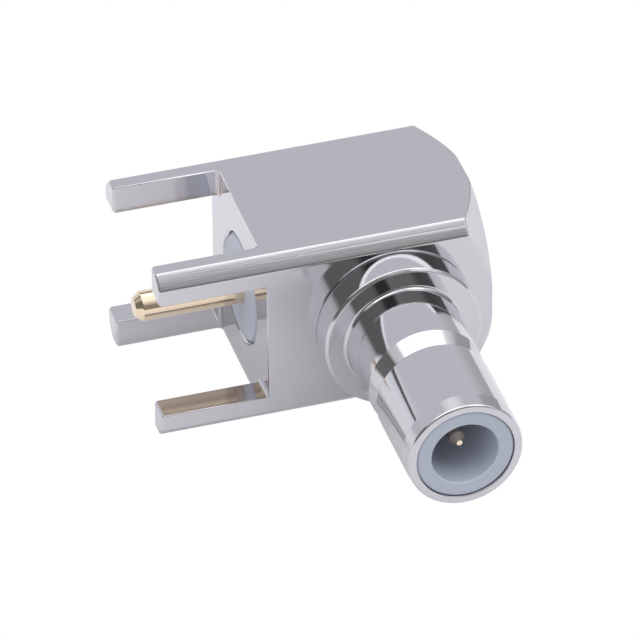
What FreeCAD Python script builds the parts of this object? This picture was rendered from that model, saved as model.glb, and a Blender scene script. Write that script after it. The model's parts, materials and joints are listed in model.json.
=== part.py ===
import FreeCAD, Part
import os
import Sketcher

# Right-angle SMB jack for a printed circuit board.
# The pin of the board side stands on the Z axis and the board's surface is the plane Z = 0.
# The four legs go down through the board, and the mating barrel points along -Y.

V = FreeCAD.Vector

# Driving dimensions in millimetres, and one angle in degrees
SIZES = [
    ("body_width", 6.1, "square bar that the body is milled from, along X"),
    ("body_depth", 6.1, "the same bar along Y"),
    ("axis_height", 4.1, "barrel's axis above the board"),
    ("head_room", 3.2, "body above the barrel's axis"),
    ("edge_chamfer", 0.4, "chamfer along the bar's four long edges"),
    ("crown_radius", 3.1, "turned end of the bar, where its cone meets the end face"),
    ("crown_angle", 50.0, "angle of that cone from the bar's axis"),
    ("leg_length", 3.45, "legs below the board's surface"),
    ("leg_width", 0.96, "leg along X"),
    ("leg_depth", 0.88, "leg along Y"),
    ("leg_break", 0.06, "chamfer round each leg's tip"),
    ("press_gap", 0.01, "radial clearance of every pressed fit"),
    ("barrel_length", 7.35, "body's front face to the barrel's mouth"),
    ("barrel_wall", 0.3, "barrel's wall round its insulator"),
    ("tip_radius", 0.08, "rounding outside the barrel's mouth"),
    ("lead_length", 0.6, "slight taper towards the mouth, along the axis"),
    ("lead_depth", 0.07, "that taper, from the barrel's radius inwards"),
    ("rim_chamfer", 0.03, "chamfer inside the barrel's mouth"),
    ("groove_setback", 3.25, "mouth to the near edge of the detent groove"),
    ("groove_width", 0.8, "detent groove across its mouth"),
    ("groove_depth", 0.18, "detent groove at its deepest"),
    ("groove_ramp", 0.62, "sloping rear side of the detent groove, along the axis"),
    ("collar_length", 1.0, "collar that stands on the body's front face"),
    ("collar_seat", 0.44, "collar beyond the spigot, all round"),
    ("collar_edge", 0.08, "chamfer of the collar's front edge"),
    ("root_fillet", 0.12, "fillet between the collar and the barrel"),
    ("spigot_length", 1.5, "barrel's spigot inside the body"),
    ("spigot_wall", 0.35, "spigot's wall round the insulator's flange"),
    ("spigot_relief", 0.1, "bore beyond the spigot's end"),
    ("cavity_step", 0.2, "cavity's wall inside the spigot's bore"),
    ("insulator_diameter", 3.1, "insulator in the barrel"),
    ("flange_step", 0.2, "insulator's rear flange beyond its diameter, all round"),
    ("flange_length", 0.8, "insulator's rear flange"),
    ("face_recess", 0.04, "insulator's face below the barrel's mouth"),
    ("face_edge", 0.05, "chamfers of the insulators' edges"),
    ("socket_bore", 2.13, "bore in which the mating contact goes"),
    ("socket_depth", 4.0, "mouth to the bottom of that bore"),
    ("pin_diameter", 0.5, "mating pin"),
    ("pin_recess", 0.64, "mating pin's end below the mouth"),
    ("nose_diameter", 0.18, "flat on the mating pin's nose"),
    ("nose_length", 0.25, "mating pin's tapered nose"),
    ("shank_diameter", 0.95, "contact where the insulator holds it"),
    ("shoulder_diameter", 1.4, "contact's shoulder behind the insulator"),
    ("shoulder_length", 0.5, "that shoulder's length"),
    ("tail_diameter", 1.1, "contact behind its shoulder"),
    ("tongue_thickness", 0.7, "flattened end of the contact"),
    ("tongue_length", 1.5, "flats on that end"),
    ("tongue_reach", 0.75, "contact's end past the board pin's axis"),
    ("board_pin_diameter", 0.96, "board pin below the bushing"),
    ("stem_diameter", 0.6, "board pin where the bushing holds it"),
    ("spike_diameter", 0.45, "thin top of the board pin, in the tongue's hole"),
    ("spike_proud", 0.1, "that top above the tongue, for the solder"),
    ("board_pin_reach", 3.45, "board pin below the board's surface"),
    ("board_tip_diameter", 0.5, "flat on the board pin's tip"),
    ("board_tip_length", 0.45, "board pin's tapered tip"),
    ("bushing_diameter", 3.55, "insulating bushing of the board pin"),
    ("bushing_seat", 0.45, "step on which the bushing stops, all round"),
    ("bushing_web", 0.2, "metal between the bushing's seat and the spigot's bore"),
    ("mouth_chamfer", 0.07, "chamfer of the bushing's bore at the board"),
    ("cap_thickness", 0.8, "cap that closes the body's rear opening"),
    ("cap_seat", 0.3, "step on which the cap stops, all round"),
    ("cap_edge", 0.08, "chamfer of the cap's outer edge"),
]

# Sizes that follow from the driving ones, as expressions of the sheet's aliases
BODY_HEIGHT = "(Sizes.axis_height + Sizes.head_room)"
BARREL_RADIUS = "(Sizes.insulator_diameter / 2 + Sizes.barrel_wall)"
BARREL_BORE = "(Sizes.insulator_diameter / 2 + Sizes.press_gap)"
FLANGE_RADIUS = "(Sizes.insulator_diameter / 2 + Sizes.flange_step)"
SPIGOT_RADIUS = "(Sizes.insulator_diameter / 2 + Sizes.flange_step + Sizes.spigot_wall)"
COLLAR_RADIUS = f"({SPIGOT_RADIUS} + Sizes.collar_seat)"
CAVITY_RADIUS = f"({SPIGOT_RADIUS} - Sizes.cavity_step)"
CAP_RADIUS = f"({CAVITY_RADIUS} + Sizes.cap_seat)"
BUSHING_LENGTH = f"(Sizes.axis_height - {SPIGOT_RADIUS} - Sizes.bushing_web)"
NECK_RADIUS = "(Sizes.bushing_diameter / 2 - Sizes.bushing_seat)"
CORNER_REACH = "((Sizes.body_width + Sizes.body_depth) / 2)"
CROWN_DROP = f"(({CORNER_REACH} - Sizes.crown_radius) / tan(Sizes.crown_angle * 1deg))"
GROOVE_FRONT = "(Sizes.barrel_length - Sizes.groove_setback)"


def make_sheet(doc):
    """Puts the driving dimensions into a spreadsheet, one named cell each."""
    sheet = doc.addObject("Spreadsheet::Sheet", "Sizes")
    for row, (alias, value, meaning) in enumerate(SIZES, start=1):
        sheet.set(f"A{row}", meaning)
        sheet.set(f"B{row}", str(value))
        sheet.setAlias(f"B{row}", alias)
    doc.recompute()
    return sheet


def make_body(doc, label):
    """Adds an empty body whose label names its file."""
    body = doc.addObject("PartDesign::Body", label)
    body.Label = label
    return body


def origin_plane(body, role):
    """Finds one of the body's own origin planes."""
    return next(item for item in body.Origin.OriginFeatures if item.Role == role)


def make_sketch(body, name, role):
    """Adds a sketch on one of the body's origin planes."""
    sketch = body.newObject("Sketcher::SketchObject", name)
    sketch.AttachmentSupport = (origin_plane(body, role), [""])
    sketch.MapMode = "FlatFace"
    return sketch


def sheet_value(sketch, expression):
    """Works out an expression of the sheet's aliases as a plain number."""
    result = sketch.evalExpression(expression)
    return result.Value if hasattr(result, "Value") else float(result)


def bind_point(sketch, geometry, point, across, up):
    """Ties a point of the sketch to the origin by two expressions."""
    for kind, expression in (("DistanceX", across), ("DistanceY", up)):
        value = sheet_value(sketch, expression)
        index = sketch.addConstraint(Sketcher.Constraint(kind, -1, 1, geometry, point, value))
        sketch.setExpression(f"Constraints[{index}]", expression)


def draw_polygon(sketch, corners):
    """Draws a closed outline whose corners are pairs of expressions."""
    places = [V(sheet_value(sketch, across), sheet_value(sketch, up), 0) for across, up in corners]
    first = sketch.GeometryCount
    count = len(corners)
    for index, start in enumerate(places):
        sketch.addGeometry(Part.LineSegment(start, places[(index + 1) % count]))
    for index in range(count):
        following = first + (index + 1) % count
        sketch.addConstraint(Sketcher.Constraint("Coincident", first + index, 2, following, 1))
    for index, (across, up) in enumerate(corners):
        bind_point(sketch, first + index, 1, across, up)


def draw_circle(sketch, across, up, radius):
    """Draws a circle whose centre and radius are expressions."""
    centre = V(sheet_value(sketch, across), sheet_value(sketch, up), 0)
    value = sheet_value(sketch, radius)
    circle = sketch.addGeometry(Part.Circle(centre, V(0, 0, 1), value))
    bind_point(sketch, circle, 3, across, up)
    index = sketch.addConstraint(Sketcher.Constraint("Radius", circle, value))
    sketch.setExpression(f"Constraints[{index}]", radius)


def turn(body, name, sketch, kind, axis):
    """Turns a profile round an axis of its sketch, as added or as removed metal."""
    feature = body.newObject(f"PartDesign::{kind}", name)
    feature.Profile = sketch
    feature.ReferenceAxis = (sketch, [axis])
    feature.Angle = 360
    sketch.Visibility = False
    return feature


def mill_through(body, name, sketch, reach):
    """Cuts a sketch through the body, as far on one side of its plane as on the other."""
    pocket = body.newObject("PartDesign::Pocket", name)
    pocket.Profile = sketch
    pocket.Midplane = True
    pocket.setExpression("Length", reach)
    return pocket


def level_edges(shape, level):
    """Names the edges that lie in one horizontal plane."""
    names = []
    for index, edge in enumerate(shape.Edges, start=1):
        box = edge.BoundBox
        if abs(box.ZMin - level) < 1e-6 and abs(box.ZMax - level) < 1e-6:
            names.append(f"Edge{index}")
    return names


def ring_edge(shape, radius, level):
    """Names the full circle of one radius at one level."""
    for index, edge in enumerate(shape.Edges, start=1):
        if not isinstance(edge.Curve, Part.Circle) or not edge.Closed:
            continue
        if abs(edge.Curve.Radius - radius) < 1e-6 and abs(edge.Curve.Center.z - level) < 1e-6:
            return f"Edge{index}"
    raise ValueError(f"no circle of radius {radius} at {level}")


def dress_edges(body, name, kind, size_property, expression, base, edges):
    """Adds a chamfer or a fillet to named edges of a feature."""
    feature = body.newObject(f"PartDesign::{kind}", name)
    feature.Base = (base, edges)
    feature.setExpression(size_property, expression)
    return feature


def lay_along_barrel(body):
    """Turns a body's Z axis to point out of the barrel, from the body's front face."""
    body.Placement = FreeCAD.Placement(V(0, 0, 0), FreeCAD.Rotation(V(1, 0, 0), 90))
    body.setExpression("Placement.Base.y", "-Sizes.body_depth / 2")
    body.setExpression("Placement.Base.z", "Sizes.axis_height")


def make_body_block(doc):
    """Square bar milled into four legs, with a turned crown and bores for what it holds."""
    body = make_body(doc, "body_block")
    half_x, half_y = "Sizes.body_width / 2", "Sizes.body_depth / 2"
    cut_x, cut_y = f"({half_x} - Sizes.edge_chamfer)", f"({half_y} - Sizes.edge_chamfer)"

    section = make_sketch(body, "bar_section", "XY_Plane")
    section.setExpression("AttachmentOffset.Base.z", "-Sizes.leg_length")
    draw_polygon(section, [
        (half_x, f"-{cut_y}"), (half_x, cut_y), (cut_x, half_y), (f"-{cut_x}", half_y),
        (f"-({half_x})", cut_y), (f"-({half_x})", f"-{cut_y}"),
        (f"-{cut_x}", f"-({half_y})"), (cut_x, f"-({half_y})"),
    ])
    bar = body.newObject("PartDesign::Pad", "bar")
    bar.Profile = section
    bar.setExpression("Length", f"Sizes.leg_length + {BODY_HEIGHT}")
    doc.recompute()

    crown_profile = make_sketch(body, "crown_profile", "XZ_Plane")
    draw_polygon(crown_profile, [
        ("Sizes.crown_radius", BODY_HEIGHT), (CORNER_REACH, BODY_HEIGHT),
        (CORNER_REACH, f"{BODY_HEIGHT} - {CROWN_DROP}"),
    ])
    turn(body, "crown", crown_profile, "Groove", "V_Axis")

    # Two slots cross between the legs, and their floor is the face that sits on the board
    slots = (("slot_along_x", "YZ_Plane", f"({half_y} - Sizes.leg_depth)", "2 * Sizes.body_width"),
             ("slot_along_y", "XZ_Plane", f"({half_x} - Sizes.leg_width)", "2 * Sizes.body_depth"))
    for name, role, half_slot, reach in slots:
        outline = make_sketch(body, f"{name}_outline", role)
        below = "-2 * Sizes.leg_length"
        draw_polygon(outline, [(f"-{half_slot}", below), (half_slot, below),
                               (half_slot, "0"), (f"-{half_slot}", "0")])
        milled = mill_through(body, name, outline, reach)
        doc.recompute()

    leg_level = -doc.Sizes.leg_length
    dress_edges(body, "leg_tips", "Chamfer", "Size", "Sizes.leg_break",
                milled, level_edges(milled.Shape, leg_level))
    doc.recompute()

    # Bore from front to rear: the spigot's seat, the cavity and the cap's seat
    bore_profile = make_sketch(body, "cross_bore_profile", "YZ_Plane")
    bore_profile.setExpression("AttachmentOffset.Base.y", "Sizes.axis_height")
    spigot_bore = f"({SPIGOT_RADIUS} + Sizes.press_gap)"
    cap_bore = f"({CAP_RADIUS} + Sizes.press_gap)"
    spigot_end = f"(Sizes.spigot_length + Sizes.spigot_relief - {half_y})"
    cap_floor = f"({half_y} - Sizes.cap_thickness)"
    draw_polygon(bore_profile, [
        (f"-({half_y})", "0"), (f"-({half_y})", spigot_bore), (spigot_end, spigot_bore),
        (spigot_end, CAVITY_RADIUS), (cap_floor, CAVITY_RADIUS), (cap_floor, cap_bore),
        (half_y, cap_bore), (half_y, "0"),
    ])
    turn(body, "cross_bore", bore_profile, "Groove", "H_Axis")

    # Bore from the board's side: the bushing's seat and the neck above it
    base_profile = make_sketch(body, "base_bore_profile", "XZ_Plane")
    base_bore = "(Sizes.bushing_diameter / 2 + Sizes.press_gap)"
    draw_polygon(base_profile, [
        ("0", "0"), (f"{base_bore} + Sizes.mouth_chamfer", "0"), (base_bore, "Sizes.mouth_chamfer"),
        (base_bore, BUSHING_LENGTH), (NECK_RADIUS, BUSHING_LENGTH),
        (NECK_RADIUS, "Sizes.axis_height"), ("0", "Sizes.axis_height"),
    ])
    turn(body, "base_bore", base_profile, "Groove", "V_Axis")
    return body


def make_barrel(doc):
    """Turned outer contact: spigot, collar, detent groove and rounded mouth."""
    body = make_body(doc, "barrel")
    profile = make_sketch(body, "barrel_profile", "XZ_Plane")
    flange_bore = f"({FLANGE_RADIUS} + Sizes.press_gap)"
    flange_end = "(Sizes.flange_length - Sizes.spigot_length)"
    draw_polygon(profile, [
        (BARREL_BORE, "Sizes.barrel_length - Sizes.rim_chamfer"),
        (f"{BARREL_BORE} + Sizes.rim_chamfer", "Sizes.barrel_length"),
        (f"{BARREL_RADIUS} - Sizes.lead_depth", "Sizes.barrel_length"),
        (BARREL_RADIUS, "Sizes.barrel_length - Sizes.lead_length"),
        (BARREL_RADIUS, "Sizes.collar_length"),
        (f"{COLLAR_RADIUS} - Sizes.collar_edge", "Sizes.collar_length"),
        (COLLAR_RADIUS, "Sizes.collar_length - Sizes.collar_edge"),
        (COLLAR_RADIUS, "0"), (SPIGOT_RADIUS, "0"),
        (SPIGOT_RADIUS, "-Sizes.spigot_length"), (flange_bore, "-Sizes.spigot_length"),
        (flange_bore, flange_end), (BARREL_BORE, flange_end),
    ])
    turned = turn(body, "turned_tube", profile, "Revolution", "V_Axis")
    doc.recompute()

    sizes = doc.Sizes
    radius = sizes.insulator_diameter / 2 + sizes.barrel_wall
    mouth = dress_edges(body, "mouth_rounding", "Fillet", "Radius", "Sizes.tip_radius",
                        turned, [ring_edge(turned.Shape, radius - sizes.lead_depth,
                                           sizes.barrel_length)])
    doc.recompute()
    dress_edges(body, "collar_root", "Fillet", "Radius", "Sizes.root_fillet",
                mouth, [ring_edge(mouth.Shape, radius, sizes.collar_length)])
    doc.recompute()

    # The detent groove slopes in from the rear and rises more steeply at the front
    groove_section = make_sketch(body, "groove_section", "XZ_Plane")
    groove_rear = f"({GROOVE_FRONT} - Sizes.groove_width)"
    outside = f"({BARREL_RADIUS} + Sizes.groove_depth)"
    draw_polygon(groove_section, [
        (outside, groove_rear), (BARREL_RADIUS, groove_rear),
        (f"{BARREL_RADIUS} - Sizes.groove_depth", f"{groove_rear} + Sizes.groove_ramp"),
        (BARREL_RADIUS, GROOVE_FRONT), (outside, GROOVE_FRONT),
    ])
    turn(body, "detent_groove", groove_section, "Groove", "V_Axis")
    lay_along_barrel(body)
    return body


def make_front_insulator(doc):
    """Insulator in the barrel, with the deep socket round the mating pin."""
    body = make_body(doc, "front_insulator")
    profile = make_sketch(body, "insulator_profile", "XZ_Plane")
    outer = "(Sizes.insulator_diameter / 2)"
    socket = "(Sizes.socket_bore / 2)"
    hole = "(Sizes.shank_diameter / 2 + Sizes.press_gap)"
    face = "(Sizes.barrel_length - Sizes.face_recess)"
    floor = "(Sizes.barrel_length - Sizes.socket_depth)"
    flange_end = "(Sizes.flange_length - Sizes.spigot_length)"
    draw_polygon(profile, [
        (hole, "-Sizes.spigot_length"), (FLANGE_RADIUS, "-Sizes.spigot_length"),
        (FLANGE_RADIUS, flange_end), (outer, flange_end),
        (outer, f"{face} - Sizes.face_edge"), (f"{outer} - Sizes.face_edge", face),
        (f"{socket} + Sizes.face_edge", face), (socket, f"{face} - Sizes.face_edge"),
        (socket, floor), (hole, floor),
    ])
    turn(body, "turned_insulator", profile, "Revolution", "V_Axis")
    lay_along_barrel(body)
    return body


def make_centre_contact(doc):
    """Mating pin, the shank that the insulator holds, and the flat tongue behind it."""
    body = make_body(doc, "centre_contact")
    profile = make_sketch(body, "contact_profile", "XZ_Plane")
    tip = "(Sizes.barrel_length - Sizes.pin_recess)"
    floor = "(Sizes.barrel_length - Sizes.socket_depth)"
    shoulder_end = "(-Sizes.spigot_length - Sizes.shoulder_length)"
    rear = "(-Sizes.body_depth / 2 - Sizes.tongue_reach)"
    draw_polygon(profile, [
        ("0", tip), ("Sizes.nose_diameter / 2", tip),
        ("Sizes.pin_diameter / 2", f"{tip} - Sizes.nose_length"), ("Sizes.pin_diameter / 2", floor),
        ("Sizes.shank_diameter / 2", floor), ("Sizes.shank_diameter / 2", "-Sizes.spigot_length"),
        ("Sizes.shoulder_diameter / 2", "-Sizes.spigot_length"),
        ("Sizes.shoulder_diameter / 2", shoulder_end), ("Sizes.tail_diameter / 2", shoulder_end),
        ("Sizes.tail_diameter / 2", rear), ("0", rear),
    ])
    turn(body, "turned_contact", profile, "Revolution", "V_Axis")
    doc.recompute()

    # Flats above and below leave a tongue, and the board pin's thin top goes through its hole
    flats = make_sketch(body, "tongue_flats", "YZ_Plane")
    near, far = "(Sizes.tongue_thickness / 2)", "Sizes.tail_diameter"
    front = f"({rear} + Sizes.tongue_length)"
    beyond = f"({rear} - Sizes.tongue_length)"
    draw_polygon(flats, [(near, beyond), (far, beyond), (far, front), (near, front)])
    draw_polygon(flats, [(f"-{near}", beyond), (f"-{near}", front),
                         (f"-{far}", front), (f"-{far}", beyond)])
    mill_through(body, "tongue", flats, "2 * Sizes.tail_diameter")
    doc.recompute()

    hole = make_sketch(body, "tongue_hole_circle", "XZ_Plane")
    draw_circle(hole, "0", "-Sizes.body_depth / 2", "Sizes.spike_diameter / 2 + Sizes.press_gap")
    mill_through(body, "tongue_hole", hole, "2 * Sizes.tail_diameter")
    lay_along_barrel(body)
    return body


def make_board_pin(doc):
    """Pin that is soldered into the board, stepped where it meets the bushing and the tongue."""
    body = make_body(doc, "board_pin")
    profile = make_sketch(body, "board_pin_profile", "XZ_Plane")
    tongue_under = "(Sizes.axis_height - Sizes.tongue_thickness / 2)"
    tongue_over = "(Sizes.axis_height + Sizes.tongue_thickness / 2)"
    draw_polygon(profile, [
        ("0", "-Sizes.board_pin_reach"), ("Sizes.board_tip_diameter / 2", "-Sizes.board_pin_reach"),
        ("Sizes.board_pin_diameter / 2", "Sizes.board_tip_length - Sizes.board_pin_reach"),
        ("Sizes.board_pin_diameter / 2", "0"), ("Sizes.stem_diameter / 2", "0"),
        ("Sizes.stem_diameter / 2", tongue_under), ("Sizes.spike_diameter / 2", tongue_under),
        ("Sizes.spike_diameter / 2", f"{tongue_over} + Sizes.spike_proud"),
        ("0", f"{tongue_over} + Sizes.spike_proud"),
    ])
    turn(body, "turned_pin", profile, "Revolution", "V_Axis")
    return body


def make_base_bushing(doc):
    """Insulating bushing round the board pin, flush with the face that sits on the board."""
    body = make_body(doc, "base_bushing")
    profile = make_sketch(body, "bushing_profile", "XZ_Plane")
    hole = "(Sizes.stem_diameter / 2 + Sizes.press_gap)"
    outer = "(Sizes.bushing_diameter / 2)"
    draw_polygon(profile, [
        (hole, "0"), (f"{outer} - Sizes.face_edge", "0"), (outer, "Sizes.face_edge"),
        (outer, BUSHING_LENGTH), (hole, BUSHING_LENGTH),
    ])
    turn(body, "turned_bushing", profile, "Revolution", "V_Axis")
    return body


def make_rear_cap(doc):
    """Round cap pressed flush into the rear opening, behind the contact."""
    body = make_body(doc, "rear_cap")
    profile = make_sketch(body, "cap_profile", "XZ_Plane")
    rear = "-Sizes.body_depth"
    inner = f"({rear} + Sizes.cap_thickness)"
    draw_polygon(profile, [
        ("0", inner), (CAP_RADIUS, inner), (CAP_RADIUS, f"{rear} + Sizes.cap_edge"),
        (f"{CAP_RADIUS} - Sizes.cap_edge", rear), ("0", rear),
    ])
    turn(body, "turned_cap", profile, "Revolution", "V_Axis")
    lay_along_barrel(body)
    return body


def check_document(doc, bodies):
    """Stops if an object failed, a shape isn't sound or a cut removed nothing."""
    for item in doc.Objects:
        if "Invalid" in item.State or "Error" in item.State:
            raise RuntimeError(f"{item.Name} failed: {item.State}")
    for body in bodies:
        shape = body.Shape
        if shape.isNull() or not shape.isValid() or len(shape.Solids) != 1:
            raise RuntimeError(f"{body.Label} isn't one sound solid")
        previous = None
        for feature in body.Group:
            if not feature.isDerivedFrom("PartDesign::Feature"):
                continue
            volume = feature.Shape.Volume
            if feature.isDerivedFrom("PartDesign::Pocket") or feature.isDerivedFrom("PartDesign::Groove"):
                if not volume < previous - 1e-6:
                    raise RuntimeError(f"{feature.Name} removed nothing")
            previous = volume


def main():
    doc = FreeCAD.newDocument("smb_jack")
    make_sheet(doc)
    builders = (make_body_block, make_barrel, make_front_insulator, make_centre_contact,
                make_board_pin, make_base_bushing, make_rear_cap)
    bodies = [build(doc) for build in builders]
    doc.recompute()
    check_document(doc, bodies)
    os.makedirs("parts", exist_ok=True)
    for body in bodies:
        body.Shape.exportStep(f"parts/{body.Label}.step")
        box = body.Shape.BoundBox
        print(f"{body.Label}: {body.Shape.Volume:.3f} mm3, "
              f"X {box.XMin:.2f} to {box.XMax:.2f}, Y {box.YMin:.2f} to {box.YMax:.2f}, "
              f"Z {box.ZMin:.2f} to {box.ZMax:.2f}")


main()
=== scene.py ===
"""Looks of a right-angle SMB jack for a printed circuit board.

The jack stands on its four legs with the board's surface at Z = 0, and its mating barrel points along -Y.
Sizes in the classes below are in millimetres, and meshes are built in metres.
"""

import json
import logging
import math
from dataclasses import dataclass, field
from enum import Enum

import bmesh
import bpy
import numpy as np
from mathutils import Matrix, Vector

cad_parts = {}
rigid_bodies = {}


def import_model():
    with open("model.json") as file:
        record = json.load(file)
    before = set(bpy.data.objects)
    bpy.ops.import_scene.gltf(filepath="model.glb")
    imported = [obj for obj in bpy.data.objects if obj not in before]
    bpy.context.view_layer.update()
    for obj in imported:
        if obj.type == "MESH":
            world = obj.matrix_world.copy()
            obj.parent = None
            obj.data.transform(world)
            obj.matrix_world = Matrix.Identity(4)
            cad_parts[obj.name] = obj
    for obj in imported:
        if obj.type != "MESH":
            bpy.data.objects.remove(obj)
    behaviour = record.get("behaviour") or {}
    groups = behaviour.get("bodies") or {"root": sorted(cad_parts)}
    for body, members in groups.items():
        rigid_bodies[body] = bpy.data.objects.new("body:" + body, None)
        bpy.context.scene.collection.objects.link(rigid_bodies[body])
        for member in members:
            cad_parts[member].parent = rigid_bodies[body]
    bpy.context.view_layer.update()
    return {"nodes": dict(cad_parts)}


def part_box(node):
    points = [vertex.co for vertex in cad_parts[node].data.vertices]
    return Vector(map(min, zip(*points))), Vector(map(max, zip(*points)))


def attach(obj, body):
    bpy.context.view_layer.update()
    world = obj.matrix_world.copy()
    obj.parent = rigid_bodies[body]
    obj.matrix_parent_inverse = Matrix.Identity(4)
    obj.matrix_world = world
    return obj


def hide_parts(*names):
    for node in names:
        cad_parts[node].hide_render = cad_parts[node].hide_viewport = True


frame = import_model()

MM = 0.001
log = logging.getLogger("smb_jack")


class Slot(Enum):
    """Material slots of the record."""

    PLATED_BODY = "plated_body"
    PLATED_BARREL = "plated_barrel"
    WHITE_INSULATOR = "white_insulator"
    GOLD_CONTACT = "gold_contact"


class Direction(Enum):
    """Ways in which an axis of revolution can point."""

    BARREL = "along -Y, out of the barrel"
    BOARD = "along +Z, up from the board"


def linear_colour(hex_code: str) -> tuple[float, float, float, float]:
    """Turns an sRGB hex colour into a linear one.

    Args:
        hex_code: Six hex digits after a hash sign.

    Returns:
        Linear red, green and blue, and an alpha of 1.
    """
    channels = np.array([int(hex_code[start:start + 2], 16) for start in (1, 3, 5)]) / 255
    linear = np.where(channels <= 0.04045, channels / 12.92, ((channels + 0.055) / 1.055) ** 2.4)
    return (*linear.tolist(), 1.0)


def add_node(tree: bpy.types.NodeTree, kind: str, settings: dict | None = None,
             inputs: dict | None = None) -> bpy.types.Node:
    """Adds one node with its settings, its plain values and its links.

    Args:
        tree: Node tree that gets the node.
        kind: Type name of the node.
        settings: Properties of the node by name.
        inputs: Values or output sockets by the input's name or number.

    Returns:
        The new node.
    """
    node = tree.nodes.new(kind)
    for name, value in (settings or {}).items():
        setattr(node, name, value)
    for name, value in (inputs or {}).items():
        if isinstance(value, bpy.types.NodeSocket):
            tree.links.new(value, node.inputs[name])
        else:
            node.inputs[name].default_value = value
    return node


def start_material(name: str, tint: str) -> tuple[bpy.types.Material, bpy.types.NodeTree,
                                                  bpy.types.Node]:
    """Starts a material of one colour.

    Args:
        name: Material's name.
        tint: Its colour as an sRGB hex code.

    Returns:
        The material, its node tree and its shader.
    """
    material = bpy.data.materials.new(name)
    material.use_nodes = True
    tree = material.node_tree
    shader = tree.nodes["Principled BSDF"]
    shader.inputs["Base Color"].default_value = linear_colour(tint)
    return material, tree, shader


def lathe_rings(tree: bpy.types.NodeTree, coordinates: bpy.types.Node, pitch: float,
                **noise_inputs: float) -> bpy.types.NodeSocket:
    """Adds the height of the fine rings that a lathe leaves, along the outline of the UV map.

    Args:
        tree: Node tree of the material.
        coordinates: Its texture coordinate node.
        pitch: Spacing of the rings.
        noise_inputs: Other values of the noise that spaces the rings unevenly.

    Returns:
        Socket with the height from 0 to 1.
    """
    split = add_node(tree, "ShaderNodeSeparateXYZ", {}, {"Vector": coordinates.outputs["UV"]})
    rings = add_node(tree, "ShaderNodeTexNoise", {"noise_dimensions": "1D"}, {
        "W": split.outputs["Y"], "Scale": 1 / pitch, **noise_inputs})
    return rings.outputs["Fac"]


def dress_with_rings(tree: bpy.types.NodeTree, shader: bpy.types.Node, pitch: float,
                     height: float) -> None:
    """Gives a turned finish its rings as bump.

    Args:
        tree: Node tree of the material.
        shader: Its shader.
        pitch: Spacing of the rings.
        height: Height of the rings.
    """
    coordinates = add_node(tree, "ShaderNodeTexCoord")
    bump = add_node(tree, "ShaderNodeBump", {}, {
        "Height": lathe_rings(tree, coordinates, pitch, Detail=3.0), "Distance": height * MM})
    tree.links.new(bump.outputs["Normal"], shader.inputs["Normal"])


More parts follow.
